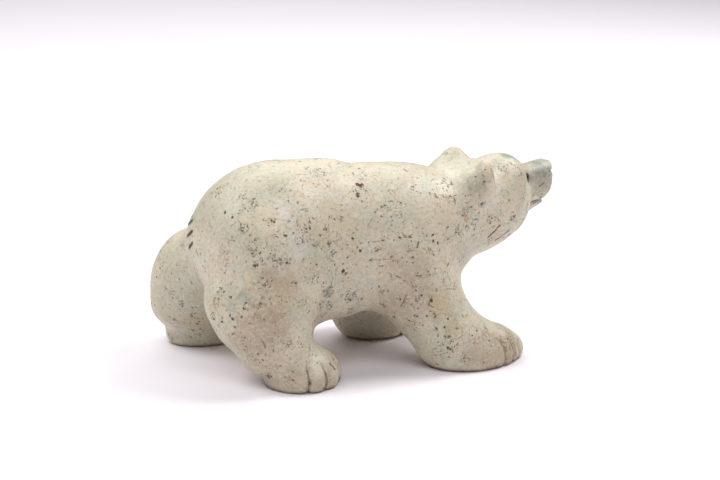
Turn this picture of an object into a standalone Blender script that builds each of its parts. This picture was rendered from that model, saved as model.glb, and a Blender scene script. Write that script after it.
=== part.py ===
# A bear carved from one piece of pale stone, standing on four flat soles, with a round black
# inlay set into each eye. The head looks along +X and a little to the bear's left, which is
# +Y. All sizes are in millimetres and are turned into metres when a piece is finished. The
# free form is drawn in shares of the carving's three main sizes.

import math

import bmesh
import bpy
from mathutils import Euler, Matrix, Vector

MM = 0.001

# Driving sizes of the carving: nose to rump, side to side, and sole to the tip of an ear
BEAR_LENGTH = 104.4
BEAR_WIDTH = 55.8
BEAR_HEIGHT = 50.7

# The form is drawn this many shares long, wide and high
FORM_SHARES = Vector((104.4, 55.8, 50.7))
BEAR_SIZE = Vector((BEAR_LENGTH, BEAR_WIDTH, BEAR_HEIGHT))
SHARE = Vector(size / shares for size, shares in zip(BEAR_SIZE, FORM_SHARES))
MEAN_SHARE = sum(SHARE) / 3

# Pose of the carving, in shares
MIDDLE = Vector((8.5, 0.93, 0.0))
HEAD_PLACE = Vector((43.0, 3.0, 39.0))
HEAD_TURN = Euler((math.radians(3.0), math.radians(-2.0), math.radians(17.0)))
EYE_PLACE = Vector((7.1, 5.0, 3.8))
EYE_AIM = Vector((0.76, 0.64, 0.06)).normalized()

# The block of space that the form is sampled in, and how finely
BOX_LOW = Vector((-47.0, -30.0, -2.0))
BOX_HIGH = Vector((63.0, 32.0, 56.0))
GRID = 0.5
STONE_TRIANGLES = 9000

# Driving sizes of an eye inlay and of the pocket that is drilled for it
EYE_RADIUS = 1.4
EYE_RIM = 0.35
EYE_DOME = 0.6
EYE_DEPTH = 1.6
EYE_GAP = 0.3
EYE_DISH = 0.5
EYE_SIDES = 24

for old in list(bpy.data.objects):
    bpy.data.objects.remove(old, do_unlink=True)

# The stone is described by one depth field, built from nodes. It is below zero inside the
# stone and above zero outside. Each mass is an egg, a limb or a block, joined softly.

tree = bpy.data.node_groups.new("bear_form", "GeometryNodeTree")
tree.interface.new_socket("Geometry", in_out="OUTPUT", socket_type="NodeSocketGeometry")


def feed(socket, value):
    if isinstance(value, bpy.types.NodeSocket):
        tree.links.new(value, socket)
    else:
        socket.default_value = value


def number(operation, first, second=0.0, limit=False):
    node = tree.nodes.new("ShaderNodeMath")
    node.operation = operation
    node.use_clamp = limit
    feed(node.inputs[0], first)
    feed(node.inputs[1], second)
    return node.outputs[0]


def vector(operation, first, second=(0.0, 0.0, 0.0)):
    node = tree.nodes.new("ShaderNodeVectorMath")
    node.operation = operation
    feed(node.inputs[0], first)
    feed(node.inputs[1], second)
    if operation in ("LENGTH", "DOT_PRODUCT", "DISTANCE"):
        return node.outputs["Value"]
    return node.outputs["Vector"]


def ramp(value, start, end, low=0.0, high=1.0):
    node = tree.nodes.new("ShaderNodeMapRange")
    node.interpolation_type = "SMOOTHSTEP"
    feed(node.inputs["Value"], value)
    node.inputs["From Min"].default_value = start
    node.inputs["From Max"].default_value = end
    node.inputs["To Min"].default_value = low
    node.inputs["To Max"].default_value = high
    return node.outputs["Result"]


def local(place, centre, turn=(0.0, 0.0, 0.0)):
    node = tree.nodes.new("ShaderNodeVectorRotate")
    node.rotation_type = "EULER_XYZ"
    node.invert = True
    feed(node.inputs["Vector"], vector("SUBTRACT", place, centre))
    node.inputs["Rotation"].default_value = [math.radians(angle) for angle in turn]
    return node.outputs["Vector"]


def egg(place, centre, radii, turn=(0.0, 0.0, 0.0)):
    share = vector("DIVIDE", local(place, centre, turn), radii)
    reach = vector("LENGTH", share)
    slope = number("ADD", vector("LENGTH", vector("DIVIDE", share, radii)), 0.000001)
    return number("DIVIDE", number("MULTIPLY", reach, number("SUBTRACT", reach, 1.0)), slope)


def limb(place, start, end, start_radius, end_radius):
    run = Vector(end) - Vector(start)
    offset = vector("SUBTRACT", place, start)
    share = number("MULTIPLY", vector("DOT_PRODUCT", offset, run), 1.0 / run.length_squared, True)
    scale = tree.nodes.new("ShaderNodeVectorMath")
    scale.operation = "SCALE"
    scale.inputs[0].default_value = run
    feed(scale.inputs["Scale"], share)
    distance = vector("DISTANCE", offset, scale.outputs["Vector"])
    return number("SUBTRACT", distance, ramp(share, 0.0, 1.0, start_radius, end_radius))


def block(place, centre, half, rounding, turn=(0.0, 0.0, 0.0)):
    core = Vector(half) - Vector((rounding, rounding, rounding))
    past = vector("SUBTRACT", vector("ABSOLUTE", local(place, centre, turn)), core)
    outside = vector("LENGTH", vector("MAXIMUM", past, (0.0, 0.0, 0.0)))
    parts = tree.nodes.new("ShaderNodeSeparateXYZ")
    feed(parts.inputs[0], past)
    widest = number("MAXIMUM", number("MAXIMUM", parts.outputs[0], parts.outputs[1]), parts.outputs[2])
    inside = number("MINIMUM", widest, 0.0)
    return number("SUBTRACT", number("ADD", outside, inside), rounding)


def join(first, second, blend):
    node = tree.nodes.new("ShaderNodeMath")
    node.operation = "SMOOTH_MIN"
    feed(node.inputs[0], first)
    feed(node.inputs[1], second)
    node.inputs[2].default_value = blend
    return node.outputs[0]


def cut(first, second, blend):
    node = tree.nodes.new("ShaderNodeMath")
    node.operation = "SMOOTH_MAX"
    feed(node.inputs[0], first)
    feed(node.inputs[1], number("MULTIPLY", second, -1.0))
    node.inputs[2].default_value = blend
    return node.outputs[0]


def score(form, distance, depth, width, *masks):
    share = number("POWER", number("DIVIDE", distance, width), 2.0)
    valley = number("MULTIPLY", number("EXPONENT", number("MULTIPLY", share, -1.0)), depth)
    for mask in masks:
        valley = number("MULTIPLY", valley, mask)
    return number("ADD", form, valley)


position = tree.nodes.new("GeometryNodeInputPosition").outputs[0]
place = vector("ADD", vector("DIVIDE", position, SHARE), MIDDLE)
place_parts = tree.nodes.new("ShaderNodeSeparateXYZ")
feed(place_parts.inputs[0], place)
height = place_parts.outputs["Z"]

# Trunk: rib cage, rump, shoulders and neck
form = egg(place, (4.0, 0.0, 30.5), (28.0, 16.5, 18.8))
form = join(form, egg(place, (-13.2, 0.0, 31.5), (22.4, 18.0, 19.2)), 6.0)
form = join(form, egg(place, (-2.5, 0.0, 34.0), (13.0, 12.0, 16.0)), 5.0)
form = join(form, egg(place, (18.0, 0.0, 30.8), (15.0, 16.0, 17.3)), 6.0)
form = join(form, limb(place, (26.0, -0.5, 32.8), (36.0, 2.0, 37.0), 13.6, 10.5), 6.0)

# Right hind leg: haunch, thigh, shank with its hock, and paw
leg = egg(place, (-17.0, -8.0, 29.0), (14.0, 12.5, 14.0))
leg = join(leg, egg(place, (-20.0, -12.5, 18.0), (12.6, 11.0, 12.5)), 9.0)
leg = join(leg, egg(place, (-29.3, -13.5, 20.5), (4.2, 4.8, 5.0)), 5.0)
leg = join(leg, limb(place, (-19.6, -15.2, 16.0), (-18.2, -16.6, 11.5), 10.9, 9.3), 4.0)
leg = join(leg, egg(place, (-22.6, -18.0, 6.4), (2.8, 4.2, 2.4)), 3.0)
leg = join(leg, egg(place, (-11.6, -18.7, 2.6), (9.4, 8.3, 7.2), (0.0, 0.0, -8.0)), 4.0)
form = join(form, leg, 8.0)

# Left hind leg, set further back and out
leg = egg(place, (-17.0, 8.0, 29.0), (14.0, 12.5, 13.0))
leg = join(leg, limb(place, (-22.0, 9.0, 25.7), (-30.0, 15.0, 20.4), 11.3, 10.9), 6.0)
leg = join(leg, egg(place, (-31.0, 16.5, 15.5), (12.5, 9.5, 14.0)), 6.0)
leg = join(leg, egg(place, (-35.4, 16.0, 11.0), (7.6, 7.5, 5.2)), 4.0)
leg = join(leg, egg(place, (-28.0, 20.5, 3.0), (11.8, 8.2, 8.0), (0.0, 0.0, 10.0)), 5.0)
form = join(form, leg, 7.0)

# Flanks that carry the belly down to each thigh
form = join(form, limb(place, (-12.0, -10.0, 19.0), (0.0, -8.0, 19.2), 7.0, 6.2), 7.0)
form = join(form, limb(place, (-16.0, 10.0, 19.0), (-2.0, 8.0, 19.5), 7.0, 6.0), 7.0)

# Right foreleg, reaching forward, and its paw
leg = limb(place, (16.2, -8.0, 25.0), (25.6, -14.0, 8.0), 11.2, 8.8)
leg = join(leg, limb(place, (27.3, -13.6, 8.2), (38.0, -14.2, 4.2), 6.8, 4.9), 4.0)
leg = join(leg, egg(place, (34.5, -13.8, 2.3), (12.8, 8.4, 6.3), (0.0, 0.0, 18.0)), 4.0)
form = join(form, leg, 8.0)

# Left foreleg, upright, and its paw
leg = limb(place, (13.5, 10.0, 24.0), (11.4, 13.0, 8.5), 11.0, 9.2)
leg = join(leg, egg(place, (16.0, 14.0, 3.0), (10.0, 7.8, 6.5), (0.0, 0.0, 8.0)), 4.0)
form = join(form, leg, 8.0)

# Head, in its own turned frame: skull, cheeks, throat, muzzle, lower jaw and ears. The
# muzzle is squared off at the nose and slopes back below it
face = local(place, HEAD_PLACE, [math.degrees(angle) for angle in HEAD_TURN])
face_parts = tree.nodes.new("ShaderNodeSeparateXYZ")
feed(face_parts.inputs[0], face)
forward = face_parts.outputs["X"]
upward = face_parts.outputs["Z"]
head = egg(face, (2.2, 0.0, 0.7), (8.2, 8.8, 9.3))
head = join(head, egg(face, (1.3, 4.0, -3.5), (6.5, 5.2, 6.8)), 4.0)
head = join(head, egg(face, (1.3, -4.0, -3.5), (6.5, 5.2, 6.8)), 4.0)
head = join(head, egg(face, (-6.0, 0.0, -5.2), (11.0, 10.5, 9.5)), 5.0)
muzzle = block(face, (11.0, 0.0, 0.8), (9.5, 4.1, 5.0), 3.3, (0.0, -4.5, 0.0))
nose_round = vector("MULTIPLY", vector("SUBTRACT", face, (12.0, 0.0, 0.0)), (1.0, 1.0, 0.0))
muzzle = cut(muzzle, number("SUBTRACT", 6.3, vector("LENGTH", nose_round)), 1.0)
lip_slope = vector("DOT_PRODUCT", face, (0.883, 0.0, -0.47))
muzzle = cut(muzzle, number("SUBTRACT", 15.3, lip_slope), 1.6)
head = join(head, muzzle, 3.2)
head = join(head, block(face, (9.3, 0.0, -3.7), (6.4, 3.4, 3.4), 2.2, (0.0, -24.0, 0.0)), 1.5)
head = join(head, egg(face, (-10.8, -6.8, 3.0), (4.2, 4.2, 5.8)), 4.0)
head = join(head, egg(face, (-8.3, -8.3, 6.6), (2.2, 3.5, 4.7), (0.0, 0.0, -10.0)), 2.5)
head = join(head, egg(face, (-9.0, 7.2, 3.2), (4.8, 4.4, 6.0)), 4.0)
head = join(head, egg(face, (-6.2, 7.8, 5.6), (3.6, 4.4, 5.6), (0.0, -4.0, -10.0)), 3.0)
head = cut(head, egg(face, (-4.6, -9.6, 6.0), (2.2, 3.4, 4.4)), 1.0)
head = cut(head, egg(face, (-1.2, 9.3, 6.1), (2.4, 2.9, 3.6), (0.0, -6.0, -20.0)), 1.0)

# A shallow dish in the face for each eye
for side in (1.0, -1.0):
    aim = Vector((EYE_AIM.x, EYE_AIM.y * side, EYE_AIM.z))
    spot = Vector((EYE_PLACE.x, EYE_PLACE.y * side, EYE_PLACE.z))
    dish = (EYE_RADIUS + 2.0 * EYE_GAP + EYE_DISH) / MEAN_SHARE
    middle = spot + aim * (dish - EYE_DISH / MEAN_SHARE)
    head = cut(head, egg(face, middle, (dish, dish, dish)), 0.5)
form = join(form, head, 6.0)

# Tail: a small low drop on the rump
form = join(form, egg(place, (-34.0, -0.5, 34.0), (2.0, 3.0, 5.6), (0.0, 12.0, 0.0)), 2.0)

# Soft hollow between each haunch and the ribs
form = score(form, limb(place, (-16.0, -14.5, 45.0), (-10.5, -20.5, 32.0), 0.0, 0.0), 0.8, 3.6)
form = score(form, limb(place, (-16.0, 14.5, 45.0), (-10.5, 20.5, 32.0), 0.0, 0.0), 0.8, 3.6)

# Mouth and nose lines
mouth_line = number("SUBTRACT", upward, -3.6)
form = score(form, mouth_line, 0.7, 0.5, ramp(forward, 8.2, 9.6))
nose_line = number("SUBTRACT", upward, 3.9)
form = score(form, nose_line, 0.5, 0.45, ramp(forward, 15.0, 16.2))

# Toes: four short upright lines in each paw, fanned about the middle of the paw
for centre, angles, depth in (
    ((-14.0, -19.0, 0.0), (-73.0, -45.0, -17.0, 11.0), 0.8),
    ((34.3, -13.5, 0.0), (-54.0, -19.0, 16.0, 51.0), 0.7),
    ((-26.5, 20.0, 0.0), (-42.0, -10.0, 22.0, 54.0), 0.7),
    ((16.5, 14.0, 0.0), (-52.0, -18.0, 16.0, 50.0), 0.7),
):
    offset = vector("SUBTRACT", place, centre)
    for angle in angles:
        turn = math.radians(angle)
        side = vector("DOT_PRODUCT", offset, (-math.sin(turn), math.cos(turn), 0.0))
        along = vector("DOT_PRODUCT", offset, (math.cos(turn), math.sin(turn), 0.0))
        form = score(form, side, depth, 0.5, ramp(along, 4.5, 6.5), ramp(height, 7.5, 5.5))

# Flat soles, with a small round at their edge
form = cut(form, height, 1.0)

# The field fills a grid, and the stone's surface is drawn where the field is zero
grid = tree.nodes.new("GeometryNodeVolumeCube")
feed(grid.inputs["Density"], number("MULTIPLY", form, -1.0))
grid.inputs["Background"].default_value = -1.0
grid.inputs["Min"].default_value = (BOX_LOW - MIDDLE) * SHARE
grid.inputs["Max"].default_value = (BOX_HIGH - MIDDLE) * SHARE
for axis, span in zip("XYZ", (BOX_HIGH - BOX_LOW) * SHARE):
    grid.inputs["Resolution " + axis].default_value = int(span / GRID)
surface = tree.nodes.new("GeometryNodeVolumeToMesh")
surface.inputs["Threshold"].default_value = 0.0
feed(surface.inputs["Volume"], grid.outputs["Volume"])
feed(tree.nodes.new("NodeGroupOutput").inputs[0], surface.outputs["Mesh"])


def material(name, color, rough):
    made = bpy.data.materials.new(name)
    made.use_nodes = True
    shader = made.node_tree.nodes["Principled BSDF"]
    shader.inputs["Base Color"].default_value = color
    shader.inputs["Roughness"].default_value = rough
    return made


def finished(name, mesh, made):
    mesh.name = name
    mesh.transform(Matrix.Scale(MM, 4))
    mesh.materials.clear()
    mesh.materials.append(made)
    piece = bpy.data.objects.new(name, mesh)
    bpy.context.scene.collection.objects.link(piece)
    return piece


def shaped(source):
    view = bpy.context.evaluated_depsgraph_get()
    return bpy.data.meshes.new_from_object(source.evaluated_get(view))


# Where an eye sits: its middle on the face, with its own Z axis looking outwards
def eye_matrix(side):
    aim = Vector((EYE_AIM.x, EYE_AIM.y * side, EYE_AIM.z))
    spot = Vector((EYE_PLACE.x, EYE_PLACE.y * side, EYE_PLACE.z))
    turn = HEAD_TURN.to_matrix()
    centre = (HEAD_PLACE - MIDDLE + turn @ spot) * SHARE
    outwards = (turn @ aim.to_track_quat("Z", "Y").to_matrix()).to_4x4()
    return Matrix.Translation(centre) @ outwards


# A round turned solid, from the half outline given as radius and height pairs
def turned(outline):
    mesh = bpy.data.meshes.new("turned")
    work = bmesh.new()
    points = [work.verts.new((radius, 0.0, level)) for radius, level in outline]
    lines = [work.edges.new(pair) for pair in zip(points, points[1:])]
    bmesh.ops.spin(
        work,
        geom=points + lines,
        cent=(0.0, 0.0, 0.0),
        axis=(0.0, 0.0, 1.0),
        angle=math.tau,
        steps=EYE_SIDES,
        use_merge=True,
    )
    bmesh.ops.remove_doubles(work, verts=work.verts, dist=0.0001)
    bmesh.ops.recalc_face_normals(work, faces=work.faces)
    work.to_mesh(mesh)
    work.free()
    return mesh


# The rough stone comes from the nodes
rough_mesh = bpy.data.meshes.new("rough")
rough = bpy.data.objects.new("rough", rough_mesh)
bpy.context.scene.collection.objects.link(rough)
rough.modifiers.new("form", "NODES").node_group = tree

# It is thinned to the triangle count
full_mesh = shaped(rough)
full_mesh.calc_loop_triangles()
rough.modifiers.clear()
rough.data = full_mesh
rough.modifiers.new("triangles", "TRIANGULATE")
thin = rough.modifiers.new("thin", "DECIMATE")
thin.ratio = STONE_TRIANGLES / len(full_mesh.loop_triangles)

# Each eye pocket is drilled into the stone, straight along the way the eye looks
for side in (1.0, -1.0):
    pocket_radius = EYE_RADIUS + EYE_GAP
    pocket_floor = -EYE_DEPTH - EYE_GAP
    pocket_mouth = 2.0 * EYE_RADIUS
    outline = [(0.0, pocket_floor), (pocket_radius, pocket_floor)]
    outline += [(pocket_radius, pocket_mouth), (0.0, pocket_mouth)]
    pocket_mesh = turned(outline)
    pocket_mesh.transform(eye_matrix(side))
    pocket = bpy.data.objects.new("pocket", pocket_mesh)
    bpy.context.scene.collection.objects.link(pocket)
    drill = rough.modifiers.new("pocket", "BOOLEAN")
    drill.operation = "DIFFERENCE"
    drill.solver = "EXACT"
    drill.object = pocket
rough.modifiers.new("triangles", "TRIANGULATE")
stone_mesh = shaped(rough)

stone_finish = material("pale mottled stone", (0.58, 0.56, 0.44, 1.0), 0.5)
finished("stone_bear", stone_mesh, stone_finish)

# Each eye is a low round button with a domed top, standing clear of its pocket all round
for name, side in (("left_eye_inlay", 1.0), ("right_eye_inlay", -1.0)):
    outline = [(0.0, -EYE_DEPTH), (EYE_RADIUS, -EYE_DEPTH), (EYE_RADIUS, EYE_RIM)]
    for step in range(1, 6):
        angle = math.radians(90.0 * step / 5)
        outline.append((EYE_RADIUS * math.cos(angle), EYE_RIM + EYE_DOME * math.sin(angle)))
    eye_mesh = turned(outline)
    eye_mesh.transform(eye_matrix(side))
    finished(name, eye_mesh, material(name + " black", (0.01, 0.01, 0.01, 1.0), 0.1))

for spare in [item for item in bpy.data.objects if item.name.startswith(("rough", "pocket"))]:
    bpy.data.objects.remove(spare, do_unlink=True)
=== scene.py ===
import math

import bmesh
import bpy
from mathutils import Euler, Matrix, Vector


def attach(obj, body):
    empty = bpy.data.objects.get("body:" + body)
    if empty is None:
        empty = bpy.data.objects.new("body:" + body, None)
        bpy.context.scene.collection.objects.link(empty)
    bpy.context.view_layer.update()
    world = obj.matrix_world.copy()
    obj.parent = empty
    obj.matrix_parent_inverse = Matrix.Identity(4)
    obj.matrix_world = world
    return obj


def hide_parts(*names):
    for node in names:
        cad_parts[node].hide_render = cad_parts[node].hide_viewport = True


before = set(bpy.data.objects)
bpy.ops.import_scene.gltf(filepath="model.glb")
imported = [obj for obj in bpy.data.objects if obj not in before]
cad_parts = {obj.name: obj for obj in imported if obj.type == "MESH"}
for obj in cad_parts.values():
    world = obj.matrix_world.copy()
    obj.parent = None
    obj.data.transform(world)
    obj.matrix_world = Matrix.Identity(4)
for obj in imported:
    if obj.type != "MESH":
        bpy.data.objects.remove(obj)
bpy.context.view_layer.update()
scene = bpy.context.scene

# Camera
# The carving was photographed from its right side, a little from behind and from above. The
# camera stands there, and marks that the photo shows are placed by the pixel they are seen at.

camera_data = bpy.data.cameras.new("camera")
camera_data.lens = 70.0
camera_data.sensor_width = 36.0
camera_data.clip_start = 0.01
camera = bpy.data.objects.new("camera", camera_data)
scene.collection.objects.link(camera)
scene.camera = camera
camera_azimuth = math.radians(-14.5)
camera_elevation = math.radians(15.0)
camera_distance = 0.343
camera_target = Vector((-0.00285, -0.00793, 0.0313))
camera_back = Vector((
    math.sin(camera_azimuth) * math.cos(camera_elevation),
    -math.cos(camera_azimuth) * math.cos(camera_elevation),
    math.sin(camera_elevation),
))
camera.location = camera_target + camera_back * camera_distance
camera.rotation_euler = (-camera_back).to_track_quat("-Z", "Y").to_euler()
photo_width, photo_height = 720, 480

# Stone bear
# The real one is cut from a single lump of pale mottled stone, ground round and polished by hand.
# It is drawn here as the same depth field as the solid, on a finer grid and with finer relief.

MM = 0.001
BEAR_SIZE = Vector((104.4, 55.8, 50.7))
FORM_SHARES = Vector((104.4, 55.8, 50.7))
MIDDLE = Vector((8.5, 0.93, 0.0))
HEAD_PLACE = Vector((43.0, 3.0, 39.0))
HEAD_TURN = Euler((math.radians(3.0), math.radians(-2.0), math.radians(17.0)))
EYE_PLACE = Vector((7.1, 5.0, 3.8))
EYE_AIM = Vector((0.76, 0.64, 0.06)).normalized()
EYE_RADIUS = 1.4
EYE_RIM = 0.35
EYE_DOME = 0.6
EYE_DEPTH = 1.6
EYE_GAP = 0.3
EYE_SEAT_GAP = 0.06
EYE_DISH = 0.5
EYE_SIDES = 64
STONE_GRID = 0.4
STONE_TRIANGLES = 196000
STONE_LOW = Vector((-47.0, -30.0, -2.0))
STONE_HIGH = Vector((63.0, 32.0, 56.0))
STONE_BUMP = 0.15
SHARP_ANGLE = math.radians(60.0)


class Wires:
    """Math nodes in one node tree, so that the carving and its colours are drawn alike."""

    def __init__(self, tree):
        self.tree = tree

    def feed(self, socket, value):
        if isinstance(value, bpy.types.NodeSocket):
            self.tree.links.new(value, socket)
        else:
            socket.default_value = value

    def number(self, operation, first, second=0.0):
        node = self.tree.nodes.new("ShaderNodeMath")
        node.operation = operation
        self.feed(node.inputs[0], first)
        self.feed(node.inputs[1], second)
        return node.outputs[0]

    def vector(self, operation, first, second=(0.0, 0.0, 0.0)):
        node = self.tree.nodes.new("ShaderNodeVectorMath")
        node.operation = operation
        self.feed(node.inputs[0], first)
        self.feed(node.inputs[1], second)
        if operation in ("LENGTH", "DOT_PRODUCT", "DISTANCE"):
            return node.outputs["Value"]
        return node.outputs["Vector"]

    def parts(self, value):
        node = self.tree.nodes.new("ShaderNodeSeparateXYZ")
        self.feed(node.inputs[0], value)
        return node.outputs[0], node.outputs[1], node.outputs[2]

    def ramp(self, value, start, end, low=0.0, high=1.0):
        node = self.tree.nodes.new("ShaderNodeMapRange")
        node.interpolation_type = "SMOOTHSTEP"
        node.clamp = False
        self.feed(node.inputs["Value"], value)
        self.feed(node.inputs["From Min"], start)
        self.feed(node.inputs["From Max"], end)
        self.feed(node.inputs["To Min"], low)
        self.feed(node.inputs["To Max"], high)
        return node.outputs["Result"]

    def local(self, place, centre, turn=(0.0, 0.0, 0.0)):
        node = self.tree.nodes.new("ShaderNodeVectorRotate")
        node.rotation_type = "EULER_XYZ"
        node.invert = True
        self.feed(node.inputs["Vector"], self.vector("SUBTRACT", place, centre))
        node.inputs["Rotation"].default_value = [math.radians(angle) for angle in turn]
        return node.outputs["Vector"]

    def egg(self, place, centre, radii, turn=(0.0, 0.0, 0.0)):
        share = self.vector("DIVIDE", self.local(place, centre, turn), radii)
        reach = self.vector("LENGTH", share)
        slope = self.number(
            "ADD", self.vector("LENGTH", self.vector("DIVIDE", share, radii)), 0.000001
        )
        depth = self.number("MULTIPLY", reach, self.number("SUBTRACT", reach, 1.0))
        return self.number("DIVIDE", depth, slope)

    def limb(self, place, start, end, start_radius=0.0, end_radius=0.0):
        run = Vector(end) - Vector(start)
        offset = self.vector("SUBTRACT", place, start)
        along = self.vector("DOT_PRODUCT", offset, run)
        share = self.number(
            "MAXIMUM", self.number("MULTIPLY", along, 1.0 / run.length_squared), 0.0
        )
        share = self.number("MINIMUM", share, 1.0)
        scale = self.tree.nodes.new("ShaderNodeVectorMath")
        scale.operation = "SCALE"
        scale.inputs[0].default_value = run
        self.feed(scale.inputs["Scale"], share)
        distance = self.vector("DISTANCE", offset, scale.outputs["Vector"])
        if start_radius == end_radius:
            return self.number("SUBTRACT", distance, start_radius)
        return self.number(
            "SUBTRACT", distance, self.ramp(share, 0.0, 1.0, start_radius, end_radius)
        )

    def block(self, place, centre, half, rounding, turn=(0.0, 0.0, 0.0)):
        core = Vector(half) - Vector((rounding, rounding, rounding))
        past = self.vector(
            "SUBTRACT", self.vector("ABSOLUTE", self.local(place, centre, turn)), core
        )
        outside = self.vector("LENGTH", self.vector("MAXIMUM", past, (0.0, 0.0, 0.0)))
        past_x, past_y, past_z = self.parts(past)
        widest = self.number("MAXIMUM", self.number("MAXIMUM", past_x, past_y), past_z)
        inside = self.number("MINIMUM", widest, 0.0)
        return self.number("SUBTRACT", self.number("ADD", outside, inside), rounding)

    def join(self, first, second, blend):
        node = self.tree.nodes.new("ShaderNodeMath")
        node.operation = "SMOOTH_MIN"
        self.feed(node.inputs[0], first)
        self.feed(node.inputs[1], second)
        node.inputs[2].default_value = blend
        return node.outputs[0]

    def cut(self, first, second, blend):
        node = self.tree.nodes.new("ShaderNodeMath")
        node.operation = "SMOOTH_MAX"
        self.feed(node.inputs[0], first)
        self.feed(node.inputs[1], self.number("MULTIPLY", second, -1.0))
        node.inputs[2].default_value = blend
        return node.outputs[0]

    def valley(self, distance, width, *masks):
        share = self.number("POWER", self.number("DIVIDE", distance, width), 2.0)
        depth = self.number("EXPONENT", self.number("MULTIPLY", share, -1.0))
        for mask in masks:
            depth = self.number("MULTIPLY", depth, mask)
        return depth

    def score(self, form, distance, depth, width, *masks):
        groove = self.valley(distance, width, *masks)
        return self.number("ADD", form, self.number("MULTIPLY", groove, depth))

    def cloud(self, place, scale, detail=3.0, rough=0.5, warp=0.0):
        node = self.tree.nodes.new("ShaderNodeTexNoise")
        self.feed(node.inputs["Vector"], place)
        self.feed(node.inputs["Scale"], scale)
        node.inputs["Detail"].default_value = detail
        node.inputs["Roughness"].default_value = rough
        node.inputs["Distortion"].default_value = warp
        return node

    def swell(self, form, cloud, depth):
        lift = self.number("SUBTRACT", cloud.outputs[0], 0.5)
        return self.number("ADD", form, self.number("MULTIPLY", lift, depth))

    def cells(self, place, scale):
        node = self.tree.nodes.new("ShaderNodeTexVoronoi")
        self.feed(node.inputs["Vector"], place)
        node.inputs["Scale"].default_value = scale
        return node

    def blend(self, first, second, share):
        node = self.tree.nodes.new("ShaderNodeMix")
        node.data_type = "RGBA"
        self.feed(node.inputs[0], share)
        self.feed(node.inputs[6], first)
        self.feed(node.inputs[7], second)
        return node.outputs[2]


def toe_lines(wires, place):
    """Distance to each line between two toes, and the share of it that is cut."""
    height = wires.parts(place)[2]
    low = wires.ramp(height, 7.5, 5.5)
    for centre, angles in (
        ((-14.0, -19.0, 0.0), (-73.0, -45.0, -17.0, 11.0)),
        ((34.3, -13.5, 0.0), (-54.0, -19.0, 16.0, 51.0)),
        ((-26.5, 20.0, 0.0), (-42.0, -10.0, 22.0, 54.0)),
        ((16.5, 14.0, 0.0), (-52.0, -18.0, 16.0, 50.0)),
    ):
        offset = wires.vector("SUBTRACT", place, centre)
        for angle in angles:
            turn = math.radians(angle)
            side = wires.vector("DOT_PRODUCT", offset, (-math.sin(turn), math.cos(turn), 0.0))
            along = wires.vector("DOT_PRODUCT", offset, (math.cos(turn), math.sin(turn), 0.0))
            yield side, wires.number("MULTIPLY", wires.ramp(along, 4.5, 6.5), low)


def face_lines(wires, place):
    """Distance to the mouth line and to the nose line, each with the share of it that is cut."""
    face = wires.local(place, HEAD_PLACE, [math.degrees(angle) for angle in HEAD_TURN])
    forward, _, upward = wires.parts(face)
    mouth = wires.number("SUBTRACT", upward, -3.6)
    nose = wires.number("SUBTRACT", upward, 3.9)
    return (mouth, wires.ramp(forward, 8.2, 9.6)), (nose, wires.ramp(forward, 15.0, 16.2))


def eye_aim(side):
    return Vector((EYE_AIM.x, EYE_AIM.y * side, EYE_AIM.z))


def eye_spot(side):
    return Vector((EYE_PLACE.x, EYE_PLACE.y * side, EYE_PLACE.z))


def eye_matrix(side):
    """Where an eye sits, in millimetres from the row's origin, with its own Z looking outwards."""
    turn = HEAD_TURN.to_matrix()
    centre = HEAD_PLACE - MIDDLE + turn @ eye_spot(side)
    outwards = (turn @ eye_aim(side).to_track_quat("Z", "Y").to_matrix()).to_4x4()
    return Matrix.Translation(centre) @ outwards


def turned(outline, sides):
    """A round turned solid from radius and height pairs."""
    mesh = bpy.data.meshes.new("turned")
    work = bmesh.new()
    points = [work.verts.new((radius, 0.0, level)) for radius, level in outline]
    lines = [work.edges.new(pair) for pair in zip(points, points[1:])]
    bmesh.ops.spin(
        work,
        geom=points + lines,
        cent=(0.0, 0.0, 0.0),
        axis=(0.0, 0.0, 1.0),
        angle=math.tau,
        steps=sides,
        use_merge=True,
    )
    bmesh.ops.remove_doubles(work, verts=work.verts, dist=0.0001)
    bmesh.ops.recalc_face_normals(work, faces=work.faces)
    work.to_mesh(mesh)
    work.free()
    return mesh


stone = bpy.data.materials.new("pale mottled stone")
form_values = {
    "Stone": ("NodeSocketMaterial", stone),
    "Bear size": ("NodeSocketVector", BEAR_SIZE),
    "Grinding allowance": ("NodeSocketFloat", 0.06),
    "Mouth depth": ("NodeSocketFloat", 0.7),
    "Nose line depth": ("NodeSocketFloat", 0.6),
    "Toe valley depth": ("NodeSocketFloat", 0.3),
    "Toe cut depth": ("NodeSocketFloat", 0.5),
    "Flank hollow depth": ("NodeSocketFloat", 0.8),
    "Saddle depth": ("NodeSocketFloat", 0.5),
    "Ear crease depth": ("NodeSocketFloat", 0.6),
    "Grinding waves": ("NodeSocketFloat", 0.4),
    "Tool ripples": ("NodeSocketFloat", 0.2),
    "Pit depth": ("NodeSocketFloat", 0.35),
    "Seed": ("NodeSocketFloat", 3.0),
}


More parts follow.
